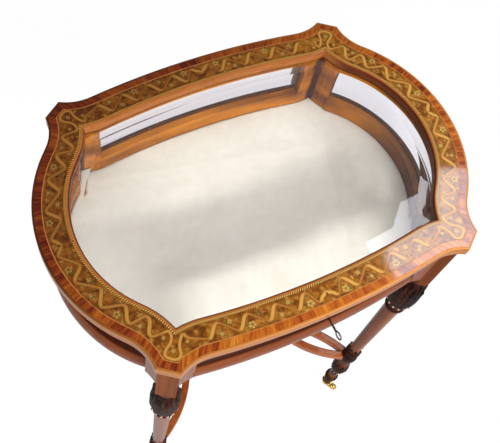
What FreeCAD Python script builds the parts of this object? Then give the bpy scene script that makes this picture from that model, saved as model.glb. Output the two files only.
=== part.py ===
"""Collectors display table: a shaped, glazed case with a hinged lid on four turned legs.

Millimetres, +Z up. The origin is on the floor under the middle of the table, X runs along
its width and the lock and key are on the -Y side. Plan shapes are given as insets, measured
inwards from the outline of the lid.
"""
import FreeCAD, Part
import math
import os

Vector = FreeCAD.Vector
UP = Vector(0, 0, 1)
ALONG_X = Vector(1, 0, 0)
ALONG_Y = Vector(0, 1, 0)
ORIGIN = Vector(0, 0, 0)

# Lid outline: bowed sides that run through hollow flanks into canted ears over the legs
table_height = 760.0
half_width = 301.5
half_depth = 209.5
long_bow_radius = 1150.0
end_bow_radius = 209.0
flank_radius = 67.0
ear_width = 31.0
ear_reach = 21.5            # leg axis to the face of the ear
ear_angle = 53.5            # direction that the ear faces, from the X axis
leg_from_end = 96.5         # widest point of the outline to the leg axis, along X
leg_from_side = 30.0        # the same along Y

# Lid, from the outline inwards
lid_thickness = 18.0
veneer_thickness = 1.0
edge_moulding_width = 3.0
edge_round = 1.5
crossbanding_inset = 12.5   # inner edge of each band
stringing_inset = 13.5
marquetry_inset = 39.5
chequer_inset = 43.0
aperture_inset = 47.0
moulding_depth = 11.5       # top of the lid to the glass
moulding_round = 3.0
rabbet_inset = 40.5
lid_glass_rim = 3.0         # thickness of the glass at its rim
lid_glass_crown = 2.5       # rise of the glass inside its bevel
lid_glass_bevel = 18.0
glass_clearance = 0.5
bead_lap = 1.0              # how far the bead stays back from the aperture

# Case
case_inset = 12.0           # outer faces of the corner posts and rails
case_depth = 114.0          # underside of the lid to the bottom of the case
case_inner_inset = 42.5
long_post_reach = 33.0      # leg axis to the glass opening, measured at the lid outline
end_post_reach = 22.5
bottom_rail_height = 36.0
bottom_rail_bulge = 1.5     # middle of the cushion, in front of the corner posts
bottom_rail_shoulder = 10.5 # top edge of the cushion, behind them
top_rail_height = 12.0
side_glass_inset = 24.0
side_glass_thickness = 4.0
side_glass_bevel = 10.0
side_glass_bevel_depth = 1.5
groove_depth = 3.0
groove_clearance = 0.15
glazing_bead = 3.6
board_inset = 34.0
board_thickness = 6.0
pad_thickness = 5.7
pad_clearance = 0.4

# Legs: square block, carved capital, tapered shaft, stretcher hub, carved bulb and foot
block_width = 28.0
block_setback = 7.5         # face of the ear to the face of the block
block_drop = 10.0           # bottom of the case to the bottom of the block
neck_radius = 14.5          # where the turning meets the block
neck_length = 12.0
capital_radius = 21.0
capital_drop = 68.0         # bottom of the block to the widest part of the capital
capital_length = 113.0      # bottom of the block to the ring under the capital
capital_ring_radius = 17.4
capital_ring_height = 10.0
ring_neck_radius = 15.5
shaft_neck = 5.0            # ring to the top of the shaft
shaft_top_radius = 13.8
shaft_bottom_radius = 10.6
collar_rise = 37.0          # middle of the stretchers to the top of the collar
collar_flare = 14.0         # end of the shaft to the collar
collar_flare_radius = 11.8
collar_radius = 14.6
collar_thickness = 5.0
collar_neck_radius = 12.4
hub_height = 211.0          # middle of the stretchers
hub_radius = 15.6
hub_top_radius = 12.6
hub_foot_radius = 13.6
hub_rise = 22.0
hub_fall = 9.0
waist_radius = 11.2
bulb_drop = 63.0            # middle of the stretchers to the middle of the bulb
bulb_radius = 16.6
bulb_top_radius = 12.2
bulb_foot_radius = 11.0
bulb_rise = 25.0
bulb_fall = 30.0
ankle_radius = 8.9
ankle_foot_radius = 9.8
foot_ring_height = 70.0
foot_ring_radius = 13.4
foot_ring_half = 3.0
foot_ring_slope = 2.5
foot_radius = 10.8
spigot_radius = 9.0
spigot_shoulder = 0.4

# Stretchers: incurved between neighbouring legs, half-lapped where they cross
stretcher_width = 13.0
stretcher_depth = 15.0
stretcher_round = 2.5
long_stretcher_bow = 141.5
end_stretcher_bow = 119.6
tenon_radius = 3.0
tenon_depth = 6.6           # into the hub
tenon_root = 4.4            # left inside the end of the stretcher

# Castors
cup_bottom = 18.0
cup_height = 18.0
cup_floor = 3.0
cup_rim_radius = 11.8
cup_rim_height = 3.0
cup_rim_step = 1.2
cup_foot_radius = 9.6
cup_round = 4.0
spigot_clearance = 0.1
stem_radius = 2.5
running_clearance = 0.06
rivet_radius = 4.0
rivet_thickness = 1.3
rivet_side_room = 1.0
rivet_top_room = 1.4
wheel_radius = 8.5
wheel_width = 7.0
wheel_crown = 1.2
wheel_gap = 0.9             # cup to the wheel, in plan
web_gap = 1.0
axle_radius = 1.5
horn_plate_radius = 6.5
horn_plate_thickness = 2.0
horn_gap = 0.3
cheek_thickness = 1.8
cheek_gap = 0.4
cheek_radius = 4.6

# Hinges
hinge_x = 85.0
hinge_length = 40.0
hinge_leaf_width = 24.0
leaf_thickness = 1.5
barrel_radius = 2.8
barrel_clearance = 0.3
hinge_pin_radius = 1.2
middle_barrel_length = 26.0
hinge_clearance = 1.4       # hinge axis behind the back faces of the leg blocks

# Lock and key
key_depth = 17.0            # underside of the lid to the axis of the key
key_shaft_radius = 1.5
key_reach = 40.5            # the bow's outer end in front of the lock rail
key_bow_radius = 5.5
key_bow_wire = 1.0
bit_length = 4.5
bit_thickness = 2.0
lock_layer = 3.0            # thickness of the bit and the bolt
lock_gap = 0.25
lock_depth = 12.0           # size of the lock case across the rail
lock_end = 4.5              # sweep of the bolt to the ends of the lock case
lock_wall = 1.0
lock_floor = 8.0            # bottom of the lock case, below the key axis
lock_rail_margin = 1.0      # wood below the lock case
bolt_wall = 2.0             # metal of the bolt's hub round the bit
hook_inner_radius = 10.0    # hook of the bolt, from the key axis
hook_outer_radius = 12.5
arm_start = -30.0           # directions from +X towards +Z, with the bolt drawn back
arm_end = -15.0
hook_end = 20.0
bolt_turn = 90.0
sweep_margin = 2.0
staple_thickness = 2.0
staple_width = 6.0
staple_end = 2.5
staple_gap = 0.5
strike_lap = 4.0            # strike plate past each end of the lock case
key_end_gap = 0.5
escutcheon_margin = 2.75
escutcheon_proud = 0.4
escutcheon_let_in = 2.0
keyhole_clearance = 1.0

# Screws
screw_head_radius = 2.2
screw_shank_radius = 1.1
screw_head_depth = 1.2
leaf_screw_length = 8.0
leaf_screw_margin = 2.0
board_screw_length = 12.0
board_screw_margin = 3.5

lid_top = table_height
lid_bottom = lid_top - lid_thickness
case_bottom = lid_bottom - case_depth
rail_top = case_bottom + bottom_rail_height
board_top = case_bottom + board_thickness
leg_x = half_width - leg_from_end
leg_y = half_depth - leg_from_side
lock_rail_height = key_depth + lock_floor + lock_rail_margin
glass_top = lid_top - moulding_depth
glass_bottom = glass_top - lid_glass_rim

ear_out = Vector(math.cos(math.radians(ear_angle)), math.sin(math.radians(ear_angle)), 0)
ear_across = Vector(-ear_out.y, ear_out.x, 0)
ear_middle = Vector(leg_x, leg_y, 0) + ear_out * ear_reach
long_bow_centre = Vector(0, half_depth - long_bow_radius, 0)
end_bow_centre = Vector(half_width - end_bow_radius, 0, 0)
ROUND = 1 - math.sqrt(0.5)  # inset of the middle of a quarter round, over its radius
QUARTERS = {"fl": (-1, -1), "fr": (1, -1), "bl": (-1, 1), "br": (1, 1)}

parts = {}


# Plan outline ---------------------------------------------------------------------------

def flipped(point, quarter):
    """The point of the +X +Y quarter moved to another quarter."""
    return Vector(point.x * quarter[0], point.y * quarter[1], point.z)


def crossing(centre_1, radius_1, centre_2, radius_2, near):
    """The crossing of two plan circles that lies nearest to a point."""
    apart = centre_2 - centre_1
    along = (apart.Length ** 2 + radius_1 ** 2 - radius_2 ** 2) / (2 * apart.Length)
    across = math.sqrt(radius_1 ** 2 - along ** 2)
    ahead = Vector(apart).normalize()
    aside = Vector(-ahead.y, ahead.x, 0)
    foot = centre_1 + ahead * along
    return min((foot + aside * across, foot - aside * across), key=near.distanceToPoint)


def flank_centre(bow_centre, bow_radius, ear_corner):
    """Centre of the hollow flank that is tangent to a bow and ends at a corner of the ear."""
    beyond = ear_corner + (ear_corner - ear_middle).normalize() * flank_radius
    return crossing(bow_centre, bow_radius + flank_radius, ear_corner, flank_radius, beyond)


long_corner = ear_middle + ear_across * (ear_width / 2)
end_corner = ear_middle - ear_across * (ear_width / 2)
long_flank = flank_centre(long_bow_centre, long_bow_radius, long_corner)
end_flank = flank_centre(end_bow_centre, end_bow_radius, end_corner)


def ear_line_point(centre, radius, inset, near):
    """Where the face of the ear, moved inwards, meets a flank."""
    foot = ear_middle - ear_out * inset - centre
    along = foot.dot(ear_across)
    reach = math.sqrt(along ** 2 - foot.dot(foot) + radius ** 2)
    ends = [centre + foot + ear_across * (sign * reach - along) for sign in (-1, 1)]
    return min(ends, key=near.distanceToPoint)


def quarter_path(inset):
    """Edges of the +X +Y quarter between its two bows, as (start, end, centre or None)."""
    radius = flank_radius + inset
    end_start = end_bow_centre + (end_flank - end_bow_centre).normalize() * (end_bow_radius - inset)
    long_end = long_bow_centre + (long_flank - long_bow_centre).normalize() * (long_bow_radius - inset)
    near_end = ear_line_point(end_flank, radius, inset, end_corner)
    near_long = ear_line_point(long_flank, radius, inset, long_corner)
    if (near_long - near_end).dot(ear_across) > 0:
        return [(end_start, near_end, end_flank), (near_end, near_long, None),
                (near_long, long_end, long_flank)]
    corner = crossing(end_flank, radius, long_flank, radius, Vector(leg_x, leg_y, 0))
    return [(end_start, corner, end_flank), (corner, long_end, long_flank)]


def plan_edge(start, end, centre):
    """A straight edge, or the shorter arc about a centre."""
    if centre is None:
        return Part.makeLine(start, end)
    half_way = ((start + end) * 0.5 - centre).normalize() * (start - centre).Length + centre
    return Part.Arc(start, half_way, end).toShape()


def outline(inset, height=0.0):
    """The closed outline of the lid, moved inwards and up."""
    path = []
    for quarter in ((1, 1), (-1, 1), (-1, -1), (1, -1)):
        pieces = [(flipped(start, quarter), flipped(end, quarter), centre and flipped(centre, quarter))
                  for start, end, centre in quarter_path(inset)]
        if quarter[0] * quarter[1] < 0:
            pieces = [(end, start, centre) for start, end, centre in reversed(pieces)]
        path.append(pieces)
    edges = []
    for place, pieces in enumerate(path):
        following = path[(place + 1) % len(path)]
        over_long_side = place % 2 == 0
        side = pieces[-1][1]
        centre = long_bow_centre if over_long_side else end_bow_centre
        signs = (1, math.copysign(1, side.y)) if over_long_side else (math.copysign(1, side.x), 1)
        edges += [plan_edge(*piece) for piece in pieces]
        edges.append(plan_edge(side, following[0][0], flipped(centre, signs)))
    wire = Part.Wire(edges)
    wire.translate(UP * height)
    return wire


def slab(inset, low, high):
    """A plate of the lid's shape."""
    return Part.Face(outline(inset, low)).extrude(UP * (high - low))


def ring(outer, inner, low, high):
    """A frame between two insets."""
    return slab(outer, low, high).cut(slab(inner, low, high))


def stack(levels):
    """A solid of the lid's shape whose inset changes with height."""
    return Part.makeLoft([outline(inset, height) for inset, height in levels], True, True)


# Pieces that follow one bowed side ------------------------------------------------------

long_opening_half = leg_x - long_post_reach
end_opening_half = leg_y - end_post_reach
SIDES = {
    "front": (flipped(long_bow_centre, (1, -1)), long_bow_radius, -90, long_opening_half),
    "back": (long_bow_centre, long_bow_radius, 90, long_opening_half),
    "left": (flipped(end_bow_centre, (-1, 1)), end_bow_radius, 180, end_opening_half),
    "right": (end_bow_centre, end_bow_radius, 0, end_opening_half),
}


def section(points):
    """A face in the XZ plane from (x, z) points; a third value marks the middle of an arc."""
    corners = [Vector(point[0], 0, point[1]) for point in points]
    middles = [len(point) > 2 for point in points]
    edges = []
    place = 0
    while place < len(points):
        after = (place + 1) % len(points)
        if middles[after]:
            last = (place + 2) % len(points)
            edges.append(Part.Arc(corners[place], corners[after], corners[last]).toShape())
            place += 2
        else:
            edges.append(Part.makeLine(corners[place], corners[after]))
            place += 1
    return Part.Face(Part.Wire(edges))


def bowed(side, profile, extra=0.0):
    """A profile of (inset, height) points swept along the opening of one side."""
    centre, radius, heading, opening_half = SIDES[side]
    half_angle = math.degrees(math.asin(opening_half / radius) + extra / (radius - side_glass_inset))
    face = section([(radius - point[0],) + tuple(point[1:]) for point in profile])
    solid = face.rotate(ORIGIN, UP, heading - half_angle).revolve(ORIGIN, UP, 2 * half_angle)
    return solid.translate(centre)


def block(near, far, low, high):
    """An (inset, height) rectangle."""
    return [(near, low), (far, low), (far, high), (near, high)]


def top_rail_bottom(side):
    return lid_bottom - (lock_rail_height if side == "front" else top_rail_height)


def box(low, high):
    size = high - low
    return Part.makeBox(size.x, size.y, size.z, low)


def rod(start, end, radius):
    along = end - start
    return Part.makeCylinder(radius, along.Length, start, along)


# Lid ------------------------------------------------------------------------------------

rail_face = lid_top - veneer_thickness
lid_frame = ring(edge_moulding_width, chequer_inset, lid_bottom, rail_face)
lid_frame = lid_frame.cut(slab(rabbet_inset, lid_bottom, glass_top))

inner_corner = quarter_path(aperture_inset)[-1][0]
mitre_end = inner_corner + (ear_middle - inner_corner).normalize() * half_width


def mitred(frame, side):
    """The part of a frame between the two mitres of one side."""
    signs = {"front": ((-1, -1), (1, -1)), "back": ((1, 1), (-1, 1)),
             "left": ((-1, 1), (-1, -1)), "right": ((1, -1), (1, 1))}[side]
    first, second = signs
    corners = [flipped(mitre_end, first), flipped(mitre_end, second),
               flipped(inner_corner, second), flipped(inner_corner, first)]
    wedge = Part.Face(Part.makePolygon(corners + corners[:1])).extrude(UP * table_height)
    return frame.common(wedge)


rounding = [(edge_round * (1 - math.sin(math.radians(turn))),
             edge_round * (1 - math.cos(math.radians(turn)))) for turn in (0, 30, 60, 90)]
edge_levels = [(inset, lid_bottom + rise) for inset, rise in rounding]
edge_levels += [(inset, lid_top - rise) for inset, rise in reversed(rounding)]
edge_moulding = stack(edge_levels).cut(slab(edge_moulding_width, lid_bottom, lid_top))

ovolo_levels = [(aperture_inset, glass_top)]
for turn in (0, 30, 60, 90):
    lean = math.radians(turn)
    ovolo_levels.append((aperture_inset - moulding_round * (1 - math.cos(lean)),
                         lid_top - moulding_round * (1 - math.sin(lean))))
inner_moulding = slab(chequer_inset, glass_top, lid_top).cut(stack(ovolo_levels))

glass_edge = rabbet_inset + glass_clearance
crown_edge = aperture_inset + glass_clearance
crown = stack([(crown_edge, glass_top), (aperture_inset + lid_glass_bevel, glass_top + lid_glass_crown)])
parts["lid_glass"] = slab(glass_edge, glass_bottom, glass_top).fuse(crown).removeSplitter()
parts["lid_glass_bead"] = ring(rabbet_inset, aperture_inset - bead_lap, lid_bottom, glass_bottom)
parts["lid_inner_moulding"] = inner_moulding
parts["lid_crossbanding"] = ring(edge_moulding_width, crossbanding_inset, rail_face, lid_top)
parts["lid_outer_stringing"] = ring(crossbanding_inset, stringing_inset, rail_face, lid_top)
parts["lid_marquetry_band"] = ring(stringing_inset, marquetry_inset, rail_face, lid_top)
parts["lid_chequer_stringing"] = ring(marquetry_inset, chequer_inset, rail_face, lid_top)

# Legs -----------------------------------------------------------------------------------

block_bottom = case_bottom - block_drop
ring_top = block_bottom - capital_length
ring_bottom = ring_top - capital_ring_height
collar_top = hub_height + collar_rise
collar_bottom = collar_top - collar_thickness
hub_top = hub_height + hub_rise
hub_bottom = hub_height - hub_fall
bulb_height = hub_height - bulb_drop
bulb_top = bulb_height + bulb_rise
bulb_bottom = bulb_height - bulb_fall
foot_ring_reach = foot_ring_half + foot_ring_slope
foot_ring_top = foot_ring_height + foot_ring_reach
foot_top = foot_ring_height - foot_ring_reach
cup_top = cup_bottom + cup_height
cup_inside = cup_bottom + cup_floor
rivet_low = cup_inside + horn_gap
rivet_top = rivet_low + rivet_thickness
spigot_bottom = rivet_top + rivet_top_room
spigot_top = cup_top + spigot_shoulder
leg_profile = [
    (0, block_bottom), (neck_radius, block_bottom), (neck_radius, block_bottom - neck_length),
    (capital_radius, block_bottom - capital_drop, "mid"), (ring_neck_radius, ring_top),
    (capital_ring_radius, (ring_top + ring_bottom) / 2, "mid"), (ring_neck_radius, ring_bottom),
    (shaft_top_radius, ring_bottom - shaft_neck), (shaft_bottom_radius, collar_top + collar_flare),
    (collar_flare_radius, collar_top + collar_flare / 2, "mid"), (collar_radius, collar_top),
    (collar_radius, collar_bottom),
    (collar_neck_radius, (collar_bottom + hub_top) / 2, "mid"), (hub_top_radius, hub_top),
    (hub_radius, (hub_top + hub_bottom) / 2, "mid"), (hub_foot_radius, hub_bottom),
    (waist_radius, (hub_bottom + bulb_top) / 2, "mid"), (bulb_top_radius, bulb_top),
    (bulb_radius, bulb_height, "mid"), (bulb_foot_radius, bulb_bottom),
    (ankle_radius, (bulb_bottom + foot_ring_top) / 2, "mid"), (ankle_foot_radius, foot_ring_top),
    (foot_ring_radius, foot_ring_height + foot_ring_half),
    (foot_ring_radius, foot_ring_height - foot_ring_half), (ankle_foot_radius, foot_top),
    (foot_radius, (foot_top + spigot_top) / 2, "mid"), (spigot_radius + spigot_shoulder, spigot_top),
    (spigot_radius, cup_top), (spigot_radius, spigot_bottom), (0, spigot_bottom),
]
block_outer = ear_reach - block_setback
square_block = box(Vector(block_outer - block_width, -block_width / 2, block_bottom),
                   Vector(block_outer, block_width / 2, lid_bottom))
turned_leg = section(leg_profile).revolve(ORIGIN, UP, 360)


def at_leg(shape, quarter):
    """A shape drawn about the leg axis, facing +X, set at a leg and turned to its ear."""
    out = flipped(ear_out, quarter)
    placed = shape.copy()
    placed.rotate(ORIGIN, UP, math.degrees(math.atan2(out.y, out.x)))
    placed.translate(flipped(Vector(leg_x, leg_y, 0), quarter))
    return placed


leg_blocks = {name: at_leg(square_block, quarter) for name, quarter in QUARTERS.items()}
legs = {name: leg_blocks[name].fuse(at_leg(turned_leg, quarter)).removeSplitter()
        for name, quarter in QUARTERS.items()}

# Case -----------------------------------------------------------------------------------

board = slab(board_inset, case_bottom, board_top)
parts["base_board"] = board
pad = slab(case_inner_inset + pad_clearance, board_top, board_top + pad_thickness)

side_glass = {}
side_groove = {}
glazing_beads = []
for side in SIDES:
    low = rail_top - groove_depth
    high = top_rail_bottom(side) + groove_depth
    outer = side_glass_inset
    inner = side_glass_inset + side_glass_thickness
    thin = outer + side_glass_bevel_depth
    side_glass[side] = bowed(side, [(thin, low), (inner, low), (inner, high), (thin, high),
                                    (outer, high - side_glass_bevel), (outer, low + side_glass_bevel)],
                             groove_depth)
    side_groove[side] = bowed(side, block(outer - groove_clearance, inner + groove_clearance,
                                          low - groove_clearance, high + groove_clearance),
                              groove_depth + groove_clearance)
    bead_low = inner + groove_clearance
    bead_high = bead_low + glazing_bead
    sill, head = rail_top, top_rail_bottom(side)
    whole = bowed(side, block(bead_low, bead_high, sill, head))
    window = bowed(side, block(bead_low, bead_high, sill + glazing_bead, head - glazing_bead),
                   -glazing_bead)
    glazing_beads.append(whole.cut(window))
parts["glazing_beads"] = Part.makeCompound(glazing_beads)

case_ring = ring(case_inset, case_inner_inset, case_bottom, lid_bottom).cut(board)
for side in SIDES:
    case_ring = case_ring.cut(bowed(side, block(0, 2 * case_inner_inset, case_bottom, lid_bottom)))
    case_ring = case_ring.cut(side_groove[side])
for name, quarter in QUARTERS.items():
    post = [solid for solid in case_ring.Solids
            if solid.CenterOfMass.x * quarter[0] > 0 and solid.CenterOfMass.y * quarter[1] > 0][0]
    parts["corner_post_" + name] = post.cut(leg_blocks[name])

bulge_height = (case_bottom + rail_top) / 2
rails = {}
for side in SIDES:
    bottom = bowed(side, [(case_inset, case_bottom), (case_inner_inset, case_bottom),
                          (case_inner_inset, rail_top),
                          (case_inset + bottom_rail_shoulder, rail_top),
                          (case_inset - bottom_rail_bulge, bulge_height, "mid")])
    rails["bottom_rail_" + side] = bottom.cut(board).cut(side_groove[side])
    top = bowed(side, block(case_inset, case_inner_inset, top_rail_bottom(side), lid_bottom))
    rails["top_rail_" + side] = top.cut(side_groove[side])
    parts["side_glass_" + side] = side_glass[side]
    pad = pad.cut(bowed(side, block(0, case_inner_inset + pad_clearance, board_top, rail_top)))
parts["velvet_pad"] = pad

# Stretchers -----------------------------------------------------------------------------

stretcher_low = hub_height - stretcher_depth / 2
stretcher_high = hub_height + stretcher_depth / 2


def stretcher(half_chord, offset, bow, heading):
    """An incurved bar between two legs, and its centre; heading is its side of the table."""
    radius = (half_chord ** 2 + bow ** 2) / (2 * bow)
    half_angle = math.degrees(math.asin(half_chord / radius))
    inside, outside = radius - stretcher_width / 2, radius + stretcher_width / 2
    soft = stretcher_round * ROUND
    face = section([(inside, stretcher_low), (outside, stretcher_low),
                    (outside, stretcher_high - stretcher_round),
                    (outside - soft, stretcher_high - soft, "mid"),
                    (outside - stretcher_round, stretcher_high),
                    (inside + stretcher_round, stretcher_high),
                    (inside + soft, stretcher_high - soft, "mid"),
                    (inside, stretcher_high - stretcher_round)])
    centre = Vector(offset - bow + radius, 0, 0)
    bar = face.rotate(ORIGIN, UP, 180 - half_angle).revolve(ORIGIN, UP, 2 * half_angle)
    bar.translate(centre)
    bar.rotate(ORIGIN, UP, heading)
    turn = FreeCAD.Rotation(UP, heading)
    return bar, turn.multVec(centre)


def tenon(leg, centre):
    """The round tenon of a stretcher, along its curve at the leg, towards the middle."""
    spoke = leg - centre
    along = Vector(-spoke.y, spoke.x, 0).normalize()
    if along.dot(leg) > 0:
        along = along * -1
    middle = leg + UP * hub_height
    start = middle + along * (hub_radius - tenon_depth)
    return rod(start, middle + along * (hub_radius + tenon_root), tenon_radius)


bars = {}
bar_legs = {"front": ("fl", "fr"), "back": ("bl", "br"), "left": ("fl", "bl"), "right": ("fr", "br")}
for side, (_, _, heading, _) in SIDES.items():
    if side in ("front", "back"):
        bars[side] = stretcher(leg_x, leg_y, long_stretcher_bow, heading)
    else:
        bars[side] = stretcher(leg_y, leg_x, end_stretcher_bow, heading)

cut_bars = {side: bar for side, (bar, _) in bars.items()}
for long_side in ("front", "back"):
    for end_side in ("left", "right"):
        for shared in bars[long_side][0].common(bars[end_side][0]).Solids:
            at = shared.CenterOfMass
            if abs(at.x) > leg_x / 2 and abs(at.y) > leg_y / 2:
                cut_bars[long_side] = cut_bars[long_side].cut(shared)
                continue
            lap = shared.BoundBox
            middle = Vector(lap.XMin, lap.YMin, hub_height)
            upper = box(middle, Vector(lap.XMax, lap.YMax, stretcher_high))
            cut_bars[long_side] = cut_bars[long_side].cut(shared.common(upper))
            cut_bars[end_side] = cut_bars[end_side].cut(shared.cut(upper))

for side, (bar, centre) in bars.items():
    shape = cut_bars[side]
    for name in bar_legs[side]:
        leg_at = flipped(Vector(leg_x, leg_y, 0), QUARTERS[name])
        peg = tenon(leg_at, centre)
        shape = shape.cut(legs[name]).fuse(peg)
        legs[name] = legs[name].cut(peg)
    solids = sorted(shape.removeSplitter().Solids, key=lambda solid: solid.Volume)
    parts["stretcher_" + side] = solids[-1]
for name in QUARTERS:
    parts["leg_" + name] = legs[name]

# Castors --------------------------------------------------------------------------------

cup = section([
    (stem_radius + running_clearance, cup_bottom), (cup_foot_radius - cup_round, cup_bottom),
    (cup_foot_radius - cup_round * ROUND, cup_bottom + cup_round * ROUND, "mid"),
    (cup_foot_radius, cup_bottom + cup_round),
    (cup_rim_radius - cup_rim_step, cup_top - cup_rim_height),
    (cup_rim_radius, cup_top - cup_rim_height), (cup_rim_radius, cup_top),
    (spigot_radius + spigot_clearance, cup_top), (spigot_radius + spigot_clearance, spigot_bottom),
    (rivet_radius + rivet_side_room, spigot_bottom), (rivet_radius + rivet_side_room, cup_inside),
    (stem_radius + running_clearance, cup_inside)]).revolve(ORIGIN, UP, 360)
parts["castor_cups"] = Part.makeCompound([at_leg(cup, quarter) for quarter in QUARTERS.values()])

plate_top = cup_bottom - horn_gap
plate_bottom = plate_top - horn_plate_thickness
wheel_offset = cup_foot_radius + wheel_gap + wheel_radius
axle_at = Vector(wheel_offset, 0, wheel_radius)
horn = rod(UP * plate_bottom, UP * plate_top, horn_plate_radius)
horn = horn.fuse(rod(UP * plate_bottom, UP * rivet_top, stem_radius))
horn = horn.fuse(rod(UP * rivet_low, UP * rivet_top, rivet_radius))
cheek_start = wheel_width / 2 + cheek_gap
web_end = wheel_offset - wheel_radius - web_gap
web = box(Vector(-cheek_radius, -cheek_start - cheek_thickness, plate_bottom - cheek_thickness),
          Vector(web_end, cheek_start + cheek_thickness, plate_bottom))
horn = horn.fuse(web)
for hand in (-1, 1):
    near = hand * cheek_start
    far = hand * (cheek_start + cheek_thickness)
    lowest = axle_at.z - cheek_radius * 0.7
    outer_top = wheel_offset + cheek_radius * 0.5
    corners = [Vector(-cheek_radius, near, plate_bottom), Vector(web_end, near, plate_bottom),
               Vector(outer_top, near, axle_at.z + cheek_radius * 0.85),
               Vector(wheel_offset - cheek_radius * 0.7, near, lowest),
               Vector(0, near, plate_bottom - cheek_thickness),
               Vector(-cheek_radius, near, plate_bottom - cheek_thickness)]
    cheek = Part.Face(Part.makePolygon(corners + corners[:1])).extrude(ALONG_Y * (far - near))
    boss = rod(axle_at + ALONG_Y * near, axle_at + ALONG_Y * far, cheek_radius)
    horn = horn.fuse(cheek).fuse(boss)
axle_half = cheek_start + cheek_thickness
horn = horn.fuse(rod(axle_at - ALONG_Y * axle_half, axle_at + ALONG_Y * axle_half, axle_radius))
horn = horn.removeSplitter()

bore = axle_radius + running_clearance
wheel_half = wheel_width / 2
wheel = section([(bore, -wheel_half), (wheel_radius - wheel_crown, -wheel_half),
                 (wheel_radius, 0, "mid"), (wheel_radius - wheel_crown, wheel_half),
                 (bore, wheel_half)]).revolve(ORIGIN, UP, 360)
wheel.rotate(ORIGIN, ALONG_X, 90)
wheel.translate(axle_at)
for name, quarter in QUARTERS.items():
    parts["castor_horn_" + name] = at_leg(horn, quarter)
    parts["castor_wheel_" + name] = at_leg(wheel, quarter)

# Hinges ---------------------------------------------------------------------------------

block_back = max(block_shape.BoundBox.YMax for block_shape in leg_blocks.values())
hinge_y = block_back + hinge_clearance
pins, case_leaves, lid_leaves, barrel_notches = [], [], [], []
case_screws, lid_screws = [], []


def screw(head, into, length):
    """A countersunk screw; head is the middle of its flat face."""
    drive = Vector(into).normalize()
    cone = Part.makeCone(screw_head_radius, screw_shank_radius, screw_head_depth, head, drive)
    return cone.fuse(rod(head, head + drive * length, screw_shank_radius)).removeSplitter()


for hinge_middle in (-hinge_x, hinge_x):
    low_x, high_x = hinge_middle - hinge_length / 2, hinge_middle + hinge_length / 2
    middle_low = hinge_middle - middle_barrel_length / 2
    middle_high = hinge_middle + middle_barrel_length / 2

    def barrel(start_x, end_x, radius):
        return rod(Vector(start_x, hinge_y, lid_bottom), Vector(end_x, hinge_y, lid_bottom), radius)

    pin_hole = barrel(low_x, high_x, hinge_pin_radius + running_clearance)
    sweep = barrel_radius + barrel_clearance
    leaf_edge = hinge_y - hinge_leaf_width
    case_leaf = box(Vector(low_x, leaf_edge, lid_bottom - leaf_thickness),
                    Vector(high_x, hinge_y, lid_bottom))
    case_leaf = case_leaf.cut(barrel(low_x, middle_low, sweep)).cut(barrel(middle_high, high_x, sweep))
    case_leaf = case_leaf.fuse(barrel(middle_low, middle_high, barrel_radius)).cut(pin_hole)
    lid_leaf = box(Vector(low_x, leaf_edge, lid_bottom),
                   Vector(high_x, hinge_y, lid_bottom + leaf_thickness))
    gap_low, gap_high = middle_low - barrel_clearance, middle_high + barrel_clearance
    lid_leaf = lid_leaf.cut(barrel(gap_low, gap_high, sweep))
    for start_x, end_x in ((low_x, gap_low), (gap_high, high_x)):
        lid_leaf = lid_leaf.fuse(barrel(start_x, end_x, barrel_radius))
    lid_leaf = lid_leaf.cut(pin_hole)
    barrel_notches.append(barrel(low_x - barrel_clearance, high_x + barrel_clearance, sweep))
    pins.append(barrel(low_x, high_x, hinge_pin_radius))
    for step in (-1, 0, 1):
        at_x = hinge_middle + step * hinge_length / 3
        at_y = leaf_edge + screw_head_radius + leaf_screw_margin
        case_screws.append(screw(Vector(at_x, at_y, lid_bottom), -UP, leaf_screw_length))
        lid_screws.append(screw(Vector(at_x, at_y, lid_bottom), UP, leaf_screw_length))
    case_leaves.append(case_leaf)
    lid_leaves.append(lid_leaf)

# Lock and key ---------------------------------------------------------------------------

key_z = lid_bottom - key_depth
rail_front_y = -(half_depth - case_inset)
lock_back_y = -(half_depth - case_inner_inset)
lock_front_y = lock_back_y - lock_depth
layer_y = (lock_back_y + lock_front_y) / 2
half_layer = lock_layer / 2
half_bit = bit_thickness / 2
half_staple = staple_thickness / 2
eye_low = hook_inner_radius - staple_gap
staple_low = eye_low - staple_end
lock_right = hook_outer_radius + lock_end
lock_left = -lock_right


def lock_box(low_x, high_x, low_z, high_z, half_y, gap=0.0):
    """A block centred on the layer in which the bit and the bolt lie, sized from the key axis."""
    grow = Vector(gap, gap, gap)
    return box(Vector(low_x, layer_y - half_y, key_z + low_z) - grow,
               Vector(high_x, layer_y + half_y, key_z + high_z) + grow)


def disc(radius, gap=0.0):
    near = Vector(0, layer_y - half_layer - gap, key_z)
    return rod(near, near + ALONG_Y * (lock_layer + 2 * gap), radius + gap)


def sector(radius, start, end, gap=0.0):
    """The part of a disc between two directions, measured from +X towards +Z."""
    apex = Vector(0, layer_y - half_layer - gap, key_z)
    turns = [math.radians(turn) for turn in (start, (start + end) / 2, end)]
    corners = [apex] + [apex + Vector(math.cos(turn), 0, math.sin(turn)) * 2 * radius for turn in turns]
    wedge = Part.Face(Part.makePolygon(corners + corners[:1])).extrude(ALONG_Y * (lock_layer + 2 * gap))
    return disc(radius, gap).common(wedge)


hook = sector(hook_outer_radius, arm_end, hook_end).cut(disc(hook_inner_radius))
bolt = disc(bit_length + bolt_wall).fuse(sector(hook_outer_radius, arm_start, arm_end)).fuse(hook)
bit_slot = lock_box(-half_bit, half_bit, -bit_length, 0, half_layer, lock_gap)
parts["lock_bolt"] = bolt.cut(disc(key_shaft_radius, lock_gap)).cut(bit_slot).removeSplitter()

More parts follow.
